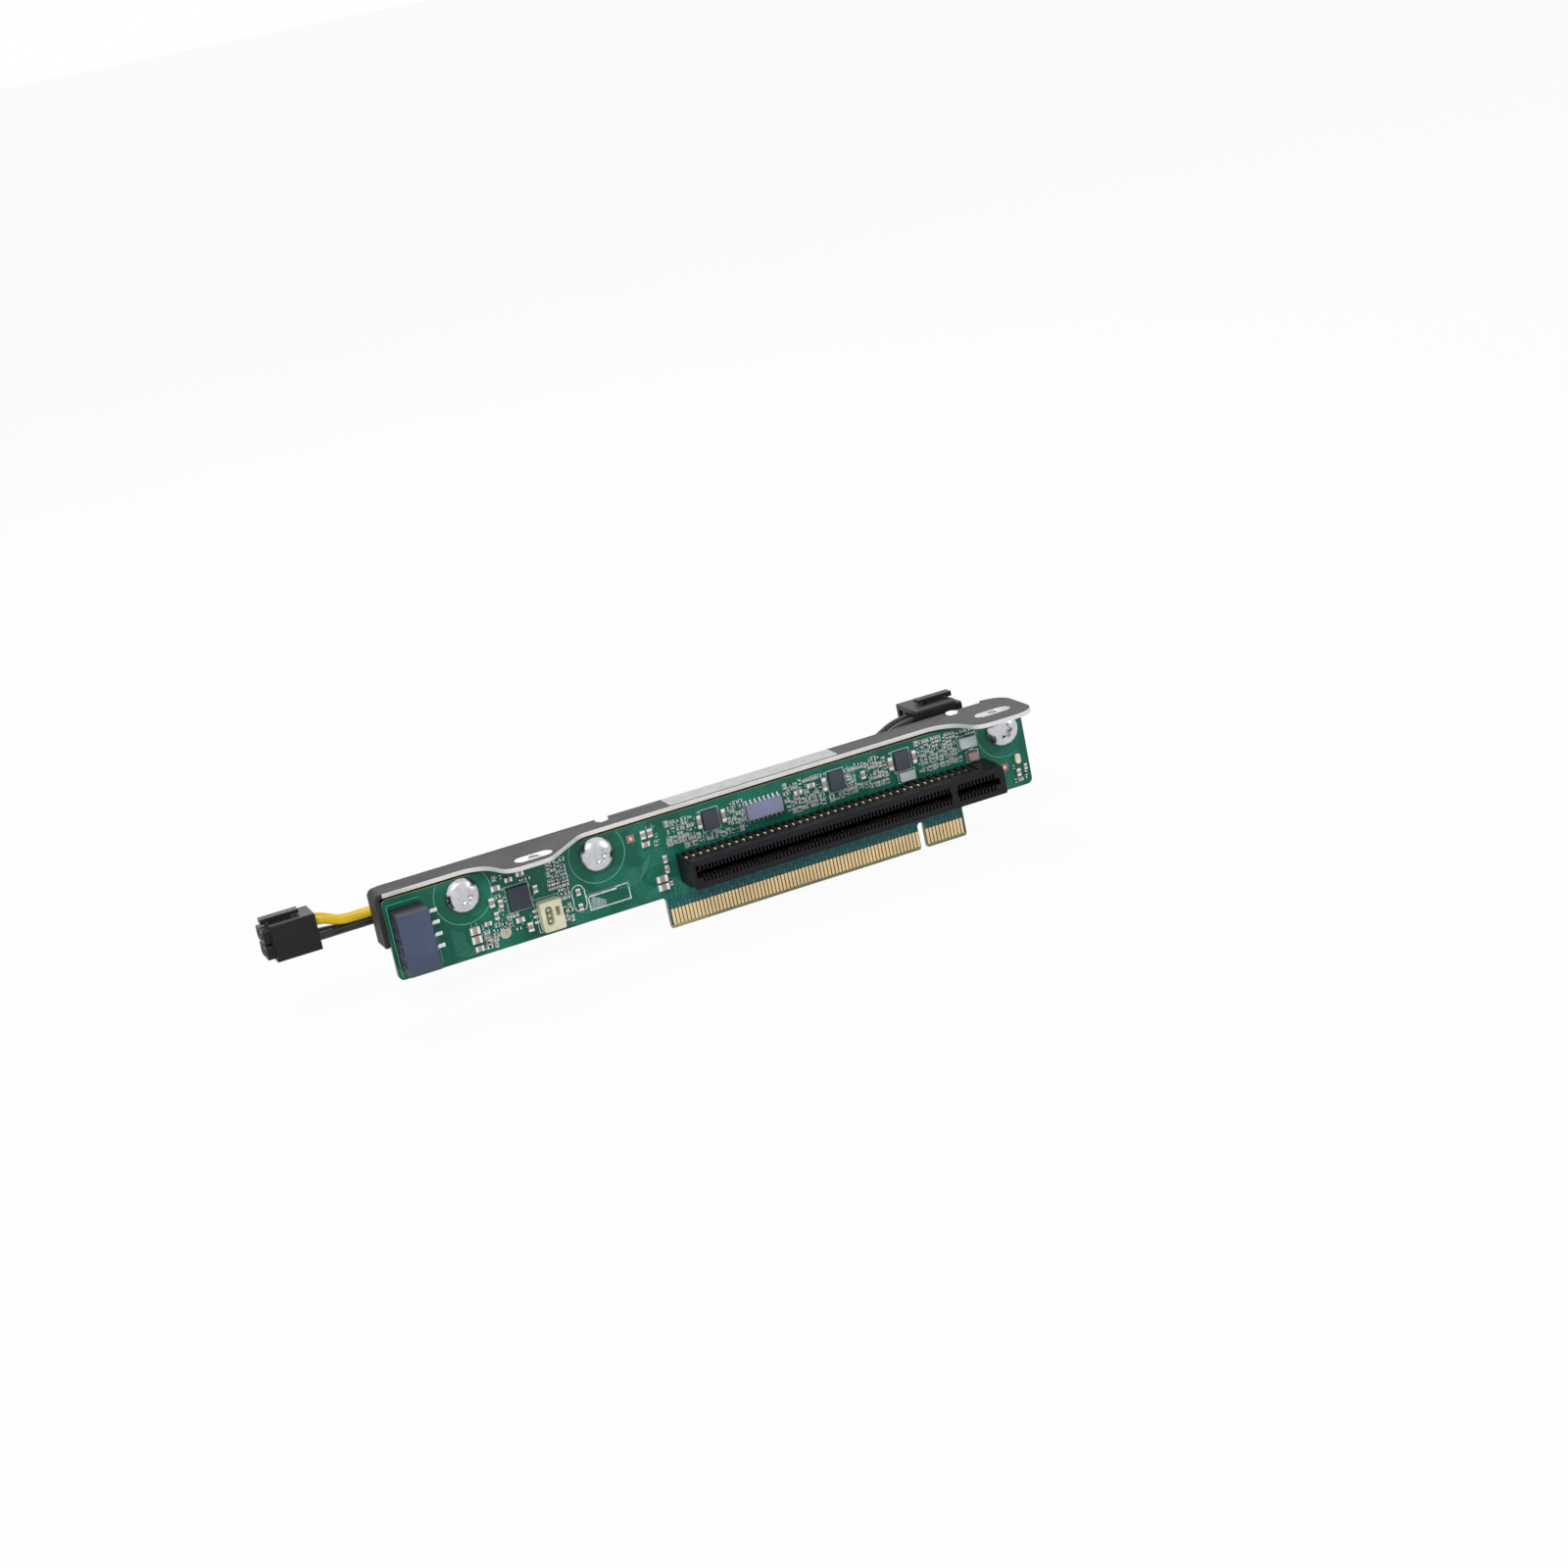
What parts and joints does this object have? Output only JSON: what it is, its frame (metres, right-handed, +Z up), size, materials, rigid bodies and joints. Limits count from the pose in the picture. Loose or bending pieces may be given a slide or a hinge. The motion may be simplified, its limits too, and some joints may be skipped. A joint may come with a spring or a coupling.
{
  "type": "riser cage bracket",
  "caption": "Long green riser board with a gold card edge and a black expansion slot, screwed to a dark folded sheet bracket with a yellow and black power lead clipped behind it.",
  "frame": {"origin": "middle of the card edge's bottom line, half way through the board's thickness", "axes": "+X along the board towards the key notch, -Y out of the component face, +Z up from the card edge to the flange"},
  "size_m": [0.2071, 0.0372, 0.0348],
  "materials": {
    "dark_steel": "satin dark grey finish with bare cut edges",
    "zinc_inserts": "zinc plated, satin",
    "bright_rivets": "bright",
    "plated_posts": "plated",
    "green_board": "solder mask, semi gloss",
    "gold_contacts": "gold plated",
    "black_slot_plastic": "matt moulded",
    "spring_contacts": "gold plated springs",
    "bright_screws": "bright nickel",
    "blue_grey_header": "matt moulded",
    "tinned_pins": "tin plated",
    "cream_header": "matt moulded",
    "dark_chip": "moulded epoxy",
    "grey_chip": "moulded epoxy",
    "lavender_chip": "moulded epoxy",
    "ceramic_bodies": "fired ceramic",
    "tinned_ends": "tin plated",
    "pale_blocks": "moulded",
    "light_lens": "clear cream lens",
    "yellow_insulation": "smooth",
    "black_insulation": "smooth",
    "black_plug_plastic": "satin moulded",
    "crimp_terminals": "tin plated brass",
    "black_clip_plastic": "satin moulded"
  },
  "bodies": {
    "root": {"bracket": "dark_steel", "window_inserts": "zinc_inserts", "flange_rivets": "bright_rivets", "standoffs": "plated_posts", "board": "green_board", "edge_contacts_front": "gold_contacts", "edge_contacts_rear": "gold_contacts", "slot_housing": "black_slot_plastic", "slot_contacts": "spring_contacts", "slot_side_tips": "spring_contacts", "mounting_screws": "bright_screws", "power_header": "blue_grey_header", "power_header_pins": "tinned_pins", "wafer_header": "cream_header", "wafer_header_pins": "tinned_pins", "controller_chip": "dark_chip", "buffer_chip_left": "grey_chip", "buffer_chip_middle": "grey_chip", "buffer_chip_right": "grey_chip", "driver_chip": "lavender_chip", "driver_chip_legs": "tinned_pins", "capacitor_bodies": "ceramic_bodies", "capacitor_ends": "tinned_ends", "power_inductor": "pale_blocks", "filter_block": "pale_blocks", "tan_capacitor": "ceramic_bodies", "status_light": "light_lens", "wire_yellow_upper": "yellow_insulation", "wire_yellow_rear": "yellow_insulation", "wire_black_lower": "black_insulation", "wire_black_rear": "black_insulation", "left_plug": "black_plug_plastic", "right_plug": "black_plug_plastic", "left_plug_terminals": "crimp_terminals", "right_plug_terminals": "crimp_terminals", "cable_clips": "black_clip_plastic"}
  },
  "joints": []
}
